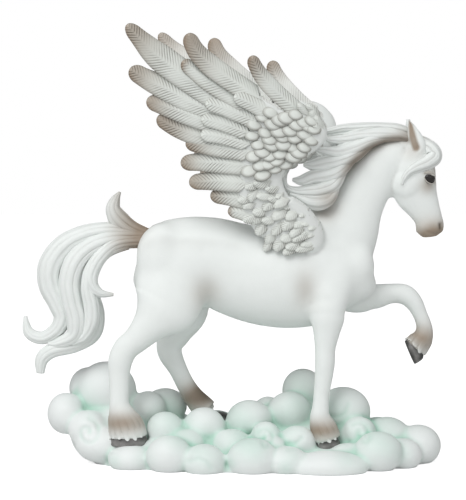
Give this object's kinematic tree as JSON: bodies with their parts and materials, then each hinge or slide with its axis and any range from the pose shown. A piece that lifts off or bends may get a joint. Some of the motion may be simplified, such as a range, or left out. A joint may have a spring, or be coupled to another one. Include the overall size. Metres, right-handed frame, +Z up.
{
  "type": "pegasus figurine",
  "caption": "Winged horse with swept-back mane and raised foreleg, striding over a flat-bottomed bank of cloud, cast as one solid ornament.",
  "frame": {"origin": "middle of the figurine's bounding box, on the plane of the cloud's flat underside", "axes": "+X towards the horse's nose, +Y towards its far side (its left), +Z up"},
  "size_m": [0.2027, 0.0842, 0.2092],
  "materials": {
    "painted_resin": "matte hand-painted off-white, beige at feather tips, pale green in the cloud's creases, dark grey hooves and black eyes"
  },
  "bodies": {
    "root": {"pegasus_casting": "painted_resin"}
  },
  "joints": []
}
